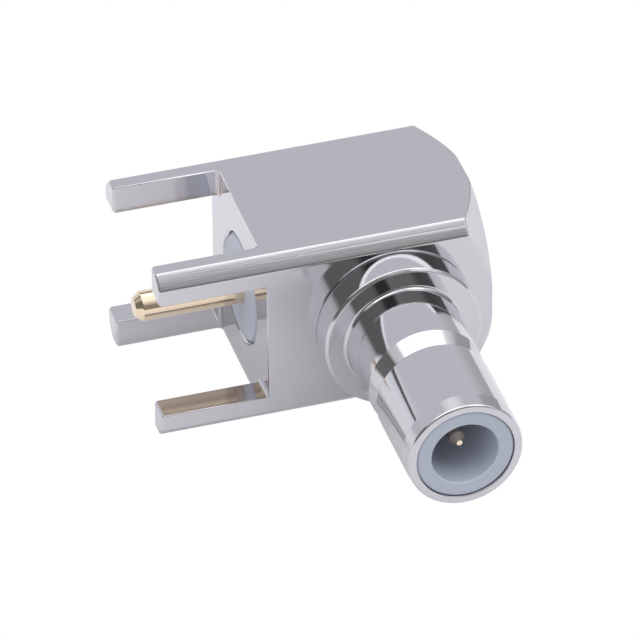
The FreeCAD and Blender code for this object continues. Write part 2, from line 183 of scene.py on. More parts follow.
@dataclass(frozen=True)
class NickelPlate:
    """Bright nickel over brass: a neutral mirror, softened by the marks of the tool below it.

    Attributes:
        name: Material's name.
        tint: Colour of the metal.
        roughness: Blur of the plate itself.
        mark_pitch: Spacing of the tool marks.
        mark_height: Height of the tool marks.
        grain_size: Width of the fine grain of the plate.
        grain_height: Height of that grain.
        turned: Whether the marks run round the piece, by its UV map, or along the bar.
        drawn_depth: How much deeper the marks are on the bar's drawn chamfers than on its milled faces.
        streak_length: Length of the marks along the bar, as a multiple of their spacing.
        patchiness: Share by which the roughness varies with the grain, either way.
    """

    name: str
    tint: str
    roughness: float
    mark_pitch: float
    mark_height: float
    grain_size: float
    grain_height: float
    turned: bool
    drawn_depth: float = 3.0
    streak_length: float = 30.0
    patchiness: float = 0.15

    def material(self) -> bpy.types.Material:
        """Builds the material.

        Returns:
            A metal whose bump adds tool marks and grain, and whose roughness varies with the grain.
        """
        material, tree, shader = start_material(self.name, self.tint)
        shader.inputs["Metallic"].default_value = 1.0
        coordinates = add_node(tree, "ShaderNodeTexCoord")
        grain = add_node(tree, "ShaderNodeTexNoise", {"noise_dimensions": "3D"}, {
            "Vector": coordinates.outputs["Object"], "Scale": 1 / (self.grain_size * MM),
            "Detail": 3.0, "Roughness": 0.6})
        marks = self.tool_marks(tree, coordinates)
        softened = add_node(tree, "ShaderNodeMapRange", {}, {
            "Value": grain.outputs["Fac"], "From Min": 0.3, "From Max": 0.7,
            "To Min": self.roughness * (1 - self.patchiness),
            "To Max": self.roughness * (1 + self.patchiness)})
        tree.links.new(softened.outputs["Result"], shader.inputs["Roughness"])
        coarse = add_node(tree, "ShaderNodeBump", {}, {
            "Height": marks, "Distance": self.mark_height * MM})
        fine = add_node(tree, "ShaderNodeBump", {}, {
            "Height": grain.outputs["Fac"], "Distance": self.grain_height * MM,
            "Normal": coarse.outputs["Normal"]})
        tree.links.new(fine.outputs["Normal"], shader.inputs["Normal"])
        return material

    def tool_marks(self, tree: bpy.types.NodeTree,
                   coordinates: bpy.types.Node) -> bpy.types.NodeSocket:
        """Adds the height of the tool marks: rings on a turned piece, streaks along a drawn bar.

        Args:
            tree: Node tree of the material.
            coordinates: Its texture coordinate node.

        Returns:
            Socket with the height from 0 to 1.
        """
        if self.turned:
            return lathe_rings(tree, coordinates, self.mark_pitch, Detail=4.0, Roughness=0.7)
        along = add_node(tree, "ShaderNodeMapping", {}, {
            "Vector": coordinates.outputs["Object"], "Scale": (1.0, 1.0, 1 / self.streak_length)})
        noise = add_node(tree, "ShaderNodeTexNoise", {"noise_dimensions": "3D"}, {
            "Vector": along.outputs["Vector"], "Scale": 1 / (self.mark_pitch * MM), "Detail": 4.0,
            "Roughness": 0.65})
        # On a chamfer of 45 degrees |x * y| of the normal is a half, and on the faces it is zero
        facing = add_node(tree, "ShaderNodeSeparateXYZ", {}, {"Vector": coordinates.outputs["Normal"]})
        both = add_node(tree, "ShaderNodeMath", {"operation": "MULTIPLY"}, {
            0: facing.outputs["X"], 1: facing.outputs["Y"]})
        chamfer = add_node(tree, "ShaderNodeMath", {"operation": "ABSOLUTE"}, {0: both.outputs[0]})
        deeper = add_node(tree, "ShaderNodeMath", {"operation": "MULTIPLY_ADD"}, {
            0: chamfer.outputs[0], 1: 2 * self.drawn_depth, 2: 1.0})
        height = add_node(tree, "ShaderNodeMath", {"operation": "MULTIPLY"}, {
            0: noise.outputs["Fac"], 1: deeper.outputs[0]})
        return height.outputs[0]


@dataclass(frozen=True)
class GoldPlate:
    """Gold flash over a turned brass pin: a warm mirror with fine rings from the lathe.

    Attributes:
        name: Material's name.
        tint: Colour of the metal.
        roughness: Blur of the plate.
        mark_pitch: Spacing of the rings.
        mark_height: Height of the rings.
    """

    name: str
    tint: str
    roughness: float
    mark_pitch: float
    mark_height: float

    def material(self) -> bpy.types.Material:
        """Builds the material.

        Returns:
            A metal with rings that follow the piece's UV map.
        """
        material, tree, shader = start_material(self.name, self.tint)
        shader.inputs["Metallic"].default_value = 1.0
        shader.inputs["Roughness"].default_value = self.roughness
        dress_with_rings(tree, shader, self.mark_pitch, self.mark_height)
        return material


@dataclass(frozen=True)
class Fluoropolymer:
    """Turned white fluoropolymer: waxy, a little translucent, with a cool white colour.

    Attributes:
        name: Material's name.
        tint: Colour of the plastic.
        roughness: Blur of its surface.
        depth: How far light goes in.
        mark_pitch: Spacing of the lathe's rings.
        mark_height: Height of the rings.
        ior: Refractive index of fluoropolymers, lower than that of other plastics.
        translucency: Share of the light that goes in.
    """

    name: str
    tint: str
    roughness: float
    depth: float
    mark_pitch: float
    mark_height: float
    ior: float = 1.36
    translucency: float = 0.1

    def material(self) -> bpy.types.Material:
        """Builds the material.

        Returns:
            A plastic into which light goes a short way, with faint rings from the lathe.
        """
        material, tree, shader = start_material(self.name, self.tint)
        shader.inputs["Roughness"].default_value = self.roughness
        shader.inputs["IOR"].default_value = self.ior
        shader.inputs["Subsurface Weight"].default_value = self.translucency
        shader.inputs["Subsurface Radius"].default_value = (1.0, 1.0, 1.0)
        shader.inputs["Subsurface Scale"].default_value = self.depth * MM
        dress_with_rings(tree, shader, self.mark_pitch, self.mark_height)
        return material


@dataclass
class Profile:
    """Outline of a turned piece: corners as (distance along the axis, radius, rounding).

    Attributes:
        corners: Corners in order, so that the metal lies to the left of the way along them.
        closed: Whether the outline is a loop, as on a tube, or starts and ends on the axis.
        arc_points: Points along each rounding.
        longest: Longest stretch of a straight line that stays undivided.
    """

    corners: list[tuple[float, float, float]]
    closed: bool
    arc_points: int = 5
    longest: float = 0.5

    def trace(self) -> tuple[np.ndarray, np.ndarray]:
        """Works out the outline's points and its outward normals.

        Each corner with rounding r becomes an arc that touches both its lines: the touching points
        lie r / tan(half the inner angle) from the corner, and the arc's points turn evenly between
        the normals of the two lines.

        Returns:
            Points and normals, both as arrays of (along, radius).
        """
        spots = np.array(self.corners, float)
        places, roundings = spots[:, :2], spots[:, 2]
        ahead = np.roll(places, -1, axis=0) - places
        ahead /= np.linalg.norm(ahead, axis=1)[:, None]
        behind = np.roll(ahead, 1, axis=0)
        out_ahead = np.stack([ahead[:, 1], -ahead[:, 0]], axis=1)
        out_behind = np.roll(out_ahead, 1, axis=0)
        points, normals = [], []
        for index, (place, radius) in enumerate(zip(places, roundings)):
            is_end = not self.closed and index in (0, len(places) - 1)
            first = out_ahead[index] if is_end and index == 0 else out_behind[index]
            last = out_behind[index] if is_end and index > 0 else out_ahead[index]
            turned = math.atan2(first[0] * last[1] - first[1] * last[0], float(first @ last))
            if radius == 0 or is_end or abs(turned) < 1e-6:
                mean = first if is_end else (first + last) / np.linalg.norm(first + last)
                points.append(place)
                normals.append(mean)
                continue
            share = np.linspace(0, 1, self.arc_points)
            start = math.atan2(first[1], first[0])
            angles = start + turned * share
            around = np.stack([np.cos(angles), np.sin(angles)], axis=1)
            side = math.copysign(1.0, turned)
            reach = radius * math.tan(abs(turned) / 2)
            centre = place - behind[index] * reach - side * radius * first
            points += list(centre + side * radius * around)
            normals += list(around)
        return self.divide(np.array(points), np.array(normals))

    def divide(self, points: np.ndarray, normals: np.ndarray) -> tuple[np.ndarray, np.ndarray]:
        """Adds evenly spaced points to the long straight stretches.

        Args:
            points: Outline as (along, radius).
            normals: Outward normals there.

        Returns:
            The longer arrays of points and normals.
        """
        count = len(points)
        all_points, all_normals = [], []
        for index in range(count):
            all_points.append(points[index])
            all_normals.append(normals[index])
            if index == count - 1 and not self.closed:
                continue
            following = (index + 1) % count
            gap = np.linalg.norm(points[following] - points[index])
            parts = int(gap // self.longest)
            if parts and np.allclose(normals[index], normals[following], atol=1e-6):
                share = np.linspace(0, 1, parts + 2)[1:-1, None]
                all_points += list(points[index] * (1 - share) + points[following] * share)
                all_normals += [normals[index]] * parts
        return np.array(all_points), np.array(all_normals)


@dataclass
class TurnedPiece:
    """Surface of revolution: P(a, s) = base + along(s) * axis + radius(s) * (cos a, sin a) across it.

    Attributes:
        name: Name of the new object.
        node: CAD node that it stands for.
        slot: Slot of the record that gives its finish; not used.
        base: Point of the axis where the outline's distances start.
        direction: Where the axis points.
        segments: Points round the axis.
    """

    name: str
    node: str
    slot: Slot
    base: tuple[float, float, float]
    direction: Direction
    segments: int = 256

    def axes(self) -> np.ndarray:
        """Works out the piece's own axes.

        Returns:
            The axis and two directions across it, right-handed, as rows.
        """
        if self.direction is Direction.BARREL:
            return np.array([(0, -1, 0), (1, 0, 0), (0, 0, 1)], float)
        return np.array([(0, 0, 1), (1, 0, 0), (0, 1, 0)], float)

    def build(self, profile: Profile, material: bpy.types.Material) -> bpy.types.Object:
        """Turns the outline round the axis and dresses the piece.

        Args:
            profile: Outline of the piece.
            material: Its finish.

        Returns:
            The new object, riding on the part and standing for its CAD node.
        """
        outline, slopes = profile.trace()
        steps = np.linalg.norm(np.diff(outline, axis=0, append=outline[:1]), axis=1)
        arc = np.concatenate([[0.0], np.cumsum(steps)])
        body = slice(None) if profile.closed else slice(1, -1)
        rings, leans = outline[body], slopes[body]
        rows = len(rings)
        angle = np.linspace(0, 2 * np.pi, self.segments, endpoint=False)[None, :]
        points = self.spread(rings, angle)
        normals = self.spread(leans, angle)

        index = np.arange(rows * self.segments).reshape(rows, self.segments)
        beside = np.roll(index, -1, axis=1)
        quads = np.stack([index, np.roll(index, -1, axis=0), np.roll(beside, -1, axis=0), beside], axis=-1)
        heights = arc[:-1] if profile.closed else arc[1:-2]
        above = arc[1:] if profile.closed else arc[2:-1]
        if not profile.closed:
            quads, heights, above = quads[:-1], heights[:-1], above[:-1]
        left = np.arange(self.segments) / self.segments
        right = np.arange(1, self.segments + 1) / self.segments
        corner_u = np.stack([left, left, right, right], axis=-1)[None].repeat(len(quads), axis=0)
        corner_v = np.stack([heights, above, above, heights], axis=-1)[:, None]
        corner_v = corner_v.repeat(self.segments, axis=1)
        maps = [np.stack([corner_u, corner_v], axis=-1).reshape(-1, 2)]
        faces = quads.reshape(-1, 4).tolist()
        if not profile.closed:
            # A fan of triangles closes each end on the axis
            ends = np.array([outline[0], outline[-1]])
            points = np.concatenate([points, self.spread(ends, angle[:, :1])])
            normals = np.concatenate([normals, self.spread(slopes[[0, -1]], angle[:, :1])])
            first, last = rows * self.segments, rows * self.segments + 1
            start = np.stack([np.full(self.segments, first), index[0], beside[0]], axis=-1)
            close = np.stack([index[-1], np.full(self.segments, last), beside[-1]], axis=-1)
            faces += start.tolist() + close.tolist()
            middle = (left + right) / 2
            low, high = np.full_like(left, arc[1]), np.full_like(left, arc[-3])
            maps.append(np.stack([middle, low * 0, left, low, right, low], axis=-1).reshape(-1, 2))
            maps.append(np.stack([left, high, middle, high + arc[-2] - arc[-3], right, high],
                                 axis=-1).reshape(-1, 2))
        return self.finish(points, normals, faces, np.concatenate(maps), material)

    def spread(self, pairs: np.ndarray, angle: np.ndarray) -> np.ndarray:
        """Turns pairs round the axis.

        Args:
            pairs: Rows of (along, radius).
            angle: Angles round the axis, as one row.

        Returns:
            Vectors in the piece's own axes, ring after ring.
        """
        along = np.broadcast_to(pairs[:, :1], (len(pairs), angle.shape[1]))
        across, up = pairs[:, 1:] * np.cos(angle), pairs[:, 1:] * np.sin(angle)
        return np.stack([along, across, up], axis=-1).reshape(-1, 3)

    def finish(self, local: np.ndarray, normals: np.ndarray, faces: list[list[int]],
               turned_map: np.ndarray, material: bpy.types.Material) -> bpy.types.Object:
        """Puts the arrays into a mesh, with a UV map of turns round and millimetres along the outline.

        Args:
            local: Vertices in the piece's own axes.
            normals: Outward normals at the vertices.
            faces: Vertex numbers of each face.
            turned_map: UV pair of each face corner.
            material: Finish of the piece.

        Returns:
            The new object.
        """
        mesh = bpy.data.meshes.new(self.name)
        places = (np.array(self.base) + local @ self.axes()) * MM
        mesh.from_pydata(places.tolist(), [], faces)
        layer = mesh.uv_layers.new(name="turned")
        layer.data.foreach_set("uv", turned_map.astype(np.float32).ravel())
        mesh.polygons.foreach_set("use_smooth", np.ones(len(faces), bool))
        mesh.update()
        mesh.normals_split_custom_set_from_vertices((normals @ self.axes()).tolist())
        mesh.materials.append(material)
        piece = bpy.data.objects.new(self.name, mesh)
        bpy.context.scene.collection.objects.link(piece)
        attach(piece, "root")
        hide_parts(self.node)
        log.info("%s: %d faces", self.name, len(faces))
        return piece


def node_box(node: str) -> tuple[np.ndarray, np.ndarray]:
    """Reads a CAD node's box.

    Args:
        node: Name of the node.

    Returns:
        Its lowest and highest corners in millimetres.
    """
    low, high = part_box(node)
    return np.array(low) / MM, np.array(high) / MM


@dataclass
class BodyBlock:
    """Square bar milled into four legs, with a turned crown and the bores for what it holds.

    Attributes:
        edge_round: Rounding of the milled edges.
        long_edge_round: Rounding along the bar's own chamfers, which came with the drawn bar.
        root_fillet: Fillet between each leg and the face that sits on the board.
        fillet_steps: Strips in which that fillet is made.
        sink: Depth by which the fillet's back goes into the metal.
        leg_width: Leg along X.
        leg_depth: Leg along Y.
        chamfer_bulge: How far the middle of each of the bar's chamfers stands out.
        chamfer_strips: Strips in which that bulge is made.
        flat_angle: Largest angle between faces that still count as one flat face, in degrees.
        sharp_angle: Smallest angle of an edge, in degrees.
        weld: Distance within which the copy's loose corners are one corner.
        near: Distance within which a point counts as lying on a face.
        aligned: Cosine above which two directions count as one.
        bevel_steps: Strips of each rounding.
    """

    edge_round: float = 0.035
    long_edge_round: float = 0.06
    root_fillet: float = 0.12
    fillet_steps: int = 6
    sink: float = 0.005
    leg_width: float = 0.96
    leg_depth: float = 0.88
    chamfer_bulge: float = 0.01
    chamfer_strips: int = 6
    flat_angle: float = 0.5
    sharp_angle: float = 25.0
    weld: float = 0.0001
    near: float = 0.001
    aligned: float = 0.9999
    bevel_steps: int = 4

    def build(self, material: bpy.types.Material) -> bpy.types.Object:
        """Merges a copy of the milled solid's faces, and rounds its edges.

        Args:
            material: Finish of the block.

        Returns:
            The new object, standing for the CAD block.
        """
        shape = bmesh.new()
        shape.from_mesh(frame["nodes"]["body_block"].data)
        bmesh.ops.remove_doubles(shape, verts=shape.verts, dist=self.weld * MM)
        bmesh.ops.dissolve_limit(shape, angle_limit=math.radians(self.flat_angle),
                                 verts=shape.verts, edges=shape.edges)
        self.crown_chamfers(shape)
        weights = shape.edges.layers.float.new("bevel_weight_edge")
        widest = max(self.edge_round, self.long_edge_round)
        for edge in shape.edges:
            if not edge.is_manifold:
                continue
            angle = math.degrees(edge.calc_face_angle_signed())
            edge.smooth = abs(angle) < self.sharp_angle
            if angle > self.sharp_angle:
                edge[weights] = self.rounding(edge) / widest
        self.add_root_fillets(shape)
        mesh = bpy.data.meshes.new("milled_body")
        shape.to_mesh(mesh)
        shape.free()
        mesh.polygons.foreach_set("use_smooth", np.ones(len(mesh.polygons), bool))
        mesh.materials.append(material)
        piece = bpy.data.objects.new("milled_body", mesh)
        bpy.context.scene.collection.objects.link(piece)
        bevel = piece.modifiers.new("edge_rounding", "BEVEL")
        bevel.limit_method = "WEIGHT"
        bevel.width = widest * MM
        bevel.segments = self.bevel_steps
        bevel.use_clamp_overlap = False
        bevel.harden_normals = True
        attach(piece, "root")
        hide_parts("body_block")
        log.info("milled_body: %d faces before rounding", len(mesh.polygons))
        return piece

    def crown_chamfers(self, shape: bmesh.types.BMesh) -> None:
        """Bulges the bar's four long chamfers a little, as drawing leaves them.

        Across a chamfer of width w, a point at s from its middle moves out by
        bulge * (1 - (2 s / w) ** 2), so that the chamfer's edges stay where they are.

        Args:
            shape: The block, with its flat faces merged.
        """
        for side_x in (1.0, -1.0):
            for side_y in (1.0, -1.0):
                out = Vector((side_x, side_y, 0.0)).normalized()
                across = Vector((-out.y, out.x, 0.0))
                faces = [face for face in shape.faces if face.normal.dot(out) > self.aligned]
                if not faces:
                    continue
                spans = [vert.co.dot(across) for face in faces for vert in face.verts]
                width, middle = max(spans) - min(spans), (max(spans) + min(spans)) / 2
                for step in range(1, self.chamfer_strips):
                    place = middle + width * (step / self.chamfer_strips - 0.5)
                    part = list({item for face in faces for item in (face, *face.edges, *face.verts)})
                    bmesh.ops.bisect_plane(shape, geom=part, plane_co=across * place, plane_no=across)
                    faces = [face for face in shape.faces if face.normal.dot(out) > self.aligned]
                for vert in {vert for face in faces for vert in face.verts}:
                    share = 2 * (vert.co.dot(across) - middle) / width
                    vert.co += out * self.chamfer_bulge * MM * (1 - min(1.0, share ** 2))
        shape.normal_update()

    def rounding(self, edge: bmesh.types.BMEdge) -> float:
        """Chooses the rounding of an outer edge.

        Args:
            edge: Edge of the block, with the metal inside its angle.

        Returns:
            The drawn bar's rounding along the outside of its long chamfers, or that of milled edges.
        """
        high = node_box("body_block")[1]
        run = (edge.verts[1].co - edge.verts[0].co) / MM
        middle = np.array((edge.verts[1].co + edge.verts[0].co) / 2) / MM
        is_upright = abs(run.z) > 0.999 * run.length
        is_outside = abs(middle[0]) > high[0] - self.near or abs(middle[1]) > high[1] - self.near
        beside_chamfer = any(abs(face.normal.x * face.normal.y) > 0.1 for face in edge.link_faces)
        return self.long_edge_round if is_upright and is_outside and beside_chamfer else self.edge_round

    def add_root_fillets(self, shape: bmesh.types.BMesh) -> None:
        """Adds the cutter's fillet round the two inner sides of each leg's root.

        With r the fillet's radius, its section is the arc (r - r cos t, -r + r sin t) for t from 0 to
        90 degrees, as (distance from the leg, height), closed by a point in the metal. The section
        goes along one side, turns the leg's corner on a mitre and goes along the other side.

        Args:
            shape: The block, to which the strips are added.
        """
        half_x, half_y = node_box("body_block")[1][:2]
        radius = self.root_fillet
        section = [(radius - radius * math.cos(turn), radius * math.sin(turn) - radius)
                   for turn in np.linspace(0, math.pi / 2, self.fillet_steps + 1)]
        section.append((-self.sink, self.sink))
        for side_x in (1, -1):
            for side_y in (1, -1):
                inner_x, inner_y = side_x * (half_x - self.leg_width), side_y * (half_y - self.leg_depth)
                stations = ((side_x * half_x, inner_y, 0, -side_y), (inner_x, inner_y, -side_x, -side_y),
                            (inner_x, side_y * half_y, -side_x, 0))
                rings = [[shape.verts.new(Vector((x + away_x * gap, y + away_y * gap, height)) * MM)
                          for gap, height in section] for x, y, away_x, away_y in stations]
                faces = [shape.faces.new((first[step - 1], first[step], second[step], second[step - 1]))
                         for first, second in zip(rings, rings[1:]) for step in range(len(section))]
                faces += [shape.faces.new(rings[0]), shape.faces.new(rings[-1])]
                bmesh.ops.recalc_face_normals(shape, faces=faces)
                for edge in {edge for face in faces for edge in face.edges}:
                    edge.smooth = abs(math.degrees(edge.calc_face_angle())) < self.sharp_angle


@dataclass
class FrontEnd:
    """Mating end: the turned barrel, its insulator and the contact in the middle.

    All distances run from the body's front face towards the mouth.

    Attributes:
        collar_length: Collar that stands on the body's front face.
        collar_edge: Chamfer of the collar's front edge.
        root_fillet: Fillet between the collar and the barrel.
        barrel_wall: Barrel's wall round its insulator.
        insulator_radius: Insulator in the barrel.
        press_gap: Radial clearance of every pressed fit.
        tip_radius: Rounding outside the mouth.
        lead_length: Slight taper towards the mouth, along the axis.
        lead_depth: That taper, from the barrel's radius inwards.
        lead_round: Rounding where that taper starts.
        rim_round: Rounding inside the mouth.
        groove_setback: Mouth to the near edge of the detent groove.
        groove_width: Detent groove across its mouth.
        groove_depth: Detent groove at its deepest.
        groove_ramp: Sloping rear side of that groove, along the axis.
        spigot_wall: Spigot's wall round the insulator's flange.
        flange_step: Insulator's rear flange beyond its radius.
        flange_length: Length of that flange.
        socket_radius: Bore in which the mating contact goes.
        socket_depth: Mouth to the bottom of that bore.
        face_gap: Insulator's face below the mouth.
        insulator_edge: Chamfers of the insulator's face.
        small_edge: Rounding of edges that were only deburred.
        soft_edge: Rounding of the turned edges that show.
        seat_edge: Rounding at the collar's foot, which leaves a dark line on the body.
        shank_radius: Contact where the insulator holds it.
        mouth: Barrel's length.
        spigot_end: Rear end of the spigot, inside the body.
        collar_radius: Collar's radius.
        base: Point of the barrel's axis in the body's front face.
    """

    collar_length: float = 1.0
    collar_edge: float = 0.08
    root_fillet: float = 0.12
    barrel_wall: float = 0.3
    insulator_radius: float = 1.55
    press_gap: float = 0.01
    tip_radius: float = 0.08
    lead_length: float = 0.6
    lead_depth: float = 0.03
    lead_round: float = 1.0
    rim_round: float = 0.03
    groove_setback: float = 3.25
    groove_width: float = 0.8
    groove_depth: float = 0.18
    groove_ramp: float = 0.62
    spigot_wall: float = 0.35
    flange_step: float = 0.2
    flange_length: float = 0.8
    socket_radius: float = 1.065
    socket_depth: float = 4.0
    face_gap: float = 0.04
    insulator_edge: float = 0.05
    small_edge: float = 0.015
    soft_edge: float = 0.06
    seat_edge: float = 0.09
    shank_radius: float = 0.475
    mouth: float = field(init=False)
    spigot_end: float = field(init=False)
    collar_radius: float = field(init=False)
    base: tuple[float, float, float] = field(init=False)

    def __post_init__(self) -> None:
        """Reads the barrel's place and its overall sizes from the frame."""
        low, high = node_box("barrel")
        front = node_box("body_block")[0][1]
        self.mouth = front - low[1]
        self.spigot_end = front - high[1]
        self.collar_radius = (high[0] - low[0]) / 2
        self.base = (0.0, front, (low[2] + high[2]) / 2)

    def piece(self, name: str, node: str, slot: Slot) -> TurnedPiece:
        """Gives an empty turned piece on the barrel's axis."""
        return TurnedPiece(name, node, slot, self.base, Direction.BARREL)

    def build_barrel(self, material: bpy.types.Material) -> bpy.types.Object:
        """Turns the outer contact: rounded mouth, detent groove, collar and spigot.

        Args:
            material: Finish of the barrel.

        Returns:
            The new object, standing for the CAD barrel.
        """
        outer = self.insulator_radius + self.barrel_wall
        bore = self.insulator_radius + self.press_gap
        flange = self.insulator_radius + self.flange_step
        spigot = flange + self.spigot_wall
        flange_bore = flange + self.press_gap
        flange_end = self.spigot_end + self.flange_length
        groove_front = self.mouth - self.groove_setback
        groove_rear = groove_front - self.groove_width
        profile = Profile([
            (self.mouth, bore, self.rim_round), (self.mouth, outer - self.lead_depth, self.tip_radius),
            (self.mouth - self.lead_length, outer, self.lead_round),
            (groove_front, outer, self.soft_edge),
            (groove_rear + self.groove_ramp, outer - self.groove_depth, self.soft_edge),
            (groove_rear, outer, self.soft_edge),
            (self.collar_length, outer, self.root_fillet),
            (self.collar_length, self.collar_radius - self.collar_edge, self.soft_edge),
            (self.collar_length - self.collar_edge, self.collar_radius, self.soft_edge),
            (0.0, self.collar_radius, self.seat_edge), (0.0, spigot, self.small_edge),
            (self.spigot_end, spigot, self.small_edge), (self.spigot_end, flange_bore, self.small_edge),
            (flange_end, flange_bore, self.small_edge), (flange_end, bore, self.small_edge),
        ], closed=True)
        return self.piece("turned_barrel", "barrel", Slot.PLATED_BARREL).build(profile, material)

    def build_insulator(self, material: bpy.types.Material) -> bpy.types.Object:
        """Turns the insulator with its deep socket, face chamfers and rear flange.

        Args:
            material: Finish of the insulator.

        Returns:
            The new object, standing for the CAD insulator.
        """
        outer = self.insulator_radius
        face = self.mouth - self.face_gap
        floor = self.mouth - self.socket_depth
        flange = outer + self.flange_step
        flange_end = self.spigot_end + self.flange_length
        hole = self.shank_radius + self.press_gap
        edge, small = self.insulator_edge, self.small_edge
        profile = Profile([
            (self.spigot_end, hole, small), (floor, hole, small), (floor, self.socket_radius, small),
            (face - edge, self.socket_radius, small), (face, self.socket_radius + edge, small),
            (face, outer - edge, small), (face - edge, outer, small),
            (flange_end, outer, small), (flange_end, flange, small), (self.spigot_end, flange, small),
        ], closed=True)
        insulator = self.piece("turned_insulator", "front_insulator", Slot.WHITE_INSULATOR)
        return insulator.build(profile, material)

    def dress_contact(self, material: bpy.types.Material) -> None:
        """Gives the CAD contact its finish. Its own mesh has every form that the mouth shows.

        Args:
            material: Finish of the contact.
        """
        contact = frame["nodes"]["centre_contact"]
        contact.data.materials.clear()
        contact.data.materials.append(material)
        log.info("centre_contact: dressed as it is")


@dataclass
class BoardSide:
    """Pin that is soldered into the board and its bushing, both on the Z axis.

    Attributes:
        pin_radius: Pin below the bushing.
        stem_radius: Pin where the bushing holds it.
        spike_radius: Thin top of the pin, in the contact's hole.
        tip_radius: Flat on the pin's tip.
        tip_length: Pin's tapered tip.
        tongue_half: Half the thickness of the contact's flat end.
        press_gap: Radial clearance of the pin in its bushing.
        edge_width: Bushing's chamfer at the board, across.
        edge_depth: That chamfer, upwards.
        small_edge: Rounding of edges that were only deburred.
        pin_segments: Points round the pin.
        base: Point of the axis in the board's surface.
    """

    pin_radius: float = 0.48
    stem_radius: float = 0.3
    spike_radius: float = 0.225
    tip_radius: float = 0.3
    tip_length: float = 0.22
    tongue_half: float = 0.35
    press_gap: float = 0.01
    edge_width: float = 0.12
    edge_depth: float = 0.14
    small_edge: float = 0.015
    pin_segments: int = 128
    base: tuple[float, float, float] = (0.0, 0.0, 0.0)

    def build_pin(self, material: bpy.types.Material) -> bpy.types.Object:
        """Turns the board pin: tapered tip, body below the bushing, stem and thin top.

        Args:
            material: Finish of the pin.

        Returns:
            The new object, standing for the CAD pin.
        """
        low, high = (corner[2] for corner in node_box("board_pin"))
        under = sum(corner[2] for corner in node_box("barrel")) / 2 - self.tongue_half
        small = self.small_edge
        profile = Profile([
            (high, 0.0, 0.0), (high, self.spike_radius, small), (under, self.spike_radius, small),
            (under, self.stem_radius, small), (0.0, self.stem_radius, small),
            (0.0, self.pin_radius, small), (low + self.tip_length, self.pin_radius, 2 * small),
            (low, self.tip_radius, 2 * small), (low, 0.0, 0.0),
        ], closed=False)
        piece = TurnedPiece("turned_board_pin", "board_pin", Slot.GOLD_CONTACT, self.base,
                            Direction.BOARD, self.pin_segments)
        return piece.build(profile, material)

    def build_bushing(self, material: bpy.types.Material) -> bpy.types.Object:
        """Turns the bushing round the board pin, with a chamfer at the board's side.

        Args:
            material: Finish of the bushing.

        Returns:
            The new object, standing for the CAD bushing.
        """
        low, high = node_box("base_bushing")
        radius, hole = (high[0] - low[0]) / 2, self.stem_radius + self.press_gap
        small = self.small_edge
        profile = Profile([
            (low[2], hole, small), (high[2], hole, small), (high[2], radius, small),
            (low[2] + self.edge_depth, radius, small), (low[2], radius - self.edge_width, small),
        ], closed=True)
        piece = TurnedPiece("turned_bushing", "base_bushing", Slot.WHITE_INSULATOR, self.base,
                            Direction.BOARD)
        return piece.build(profile, material)


@dataclass
class RearCap:
    """Round cap pressed flush into the body's rear opening.

    Attributes:
        edge: Chamfer of the cap's outer edge.
        small_edge: Rounding of its other edges.
    """

    edge: float = 0.08
    small_edge: float = 0.02

    def build(self, material: bpy.types.Material) -> bpy.types.Object:
        """Turns the cap, with a chamfer round its outer face.

        Args:
            material: Finish of the cap.

        Returns:
            The new object, standing for the CAD cap.
        """
        low, high = node_box("rear_cap")
        radius, height = (high[0] - low[0]) / 2, (high[2] + low[2]) / 2
        inner, outer = -low[1], -high[1]
        small = self.small_edge
        profile = Profile([
            (inner, 0.0, 0.0), (inner, radius, small), (outer + self.edge, radius, small),
            (outer, radius - self.edge, small), (outer, 0.0, 0.0),
        ], closed=False)
        piece = TurnedPiece("turned_cap", "rear_cap", Slot.PLATED_BODY, (0.0, 0.0, height),
                            Direction.BARREL)
        return piece.build(profile, material)


@dataclass(frozen=True)
class Panel:
    """One side of the light tent, from one azimuth on to the next panel's.

    Attributes:
        azimuth: Where the panel starts, in degrees from the tent's front towards its right.
        levels: Elevations in degrees, each with the panel's brightness and its warmth there.
    """

    azimuth: float
    levels: tuple[tuple[float, float, float], ...]


WARM, NEUTRAL, COOL = 1.0, 0.0, -1.0


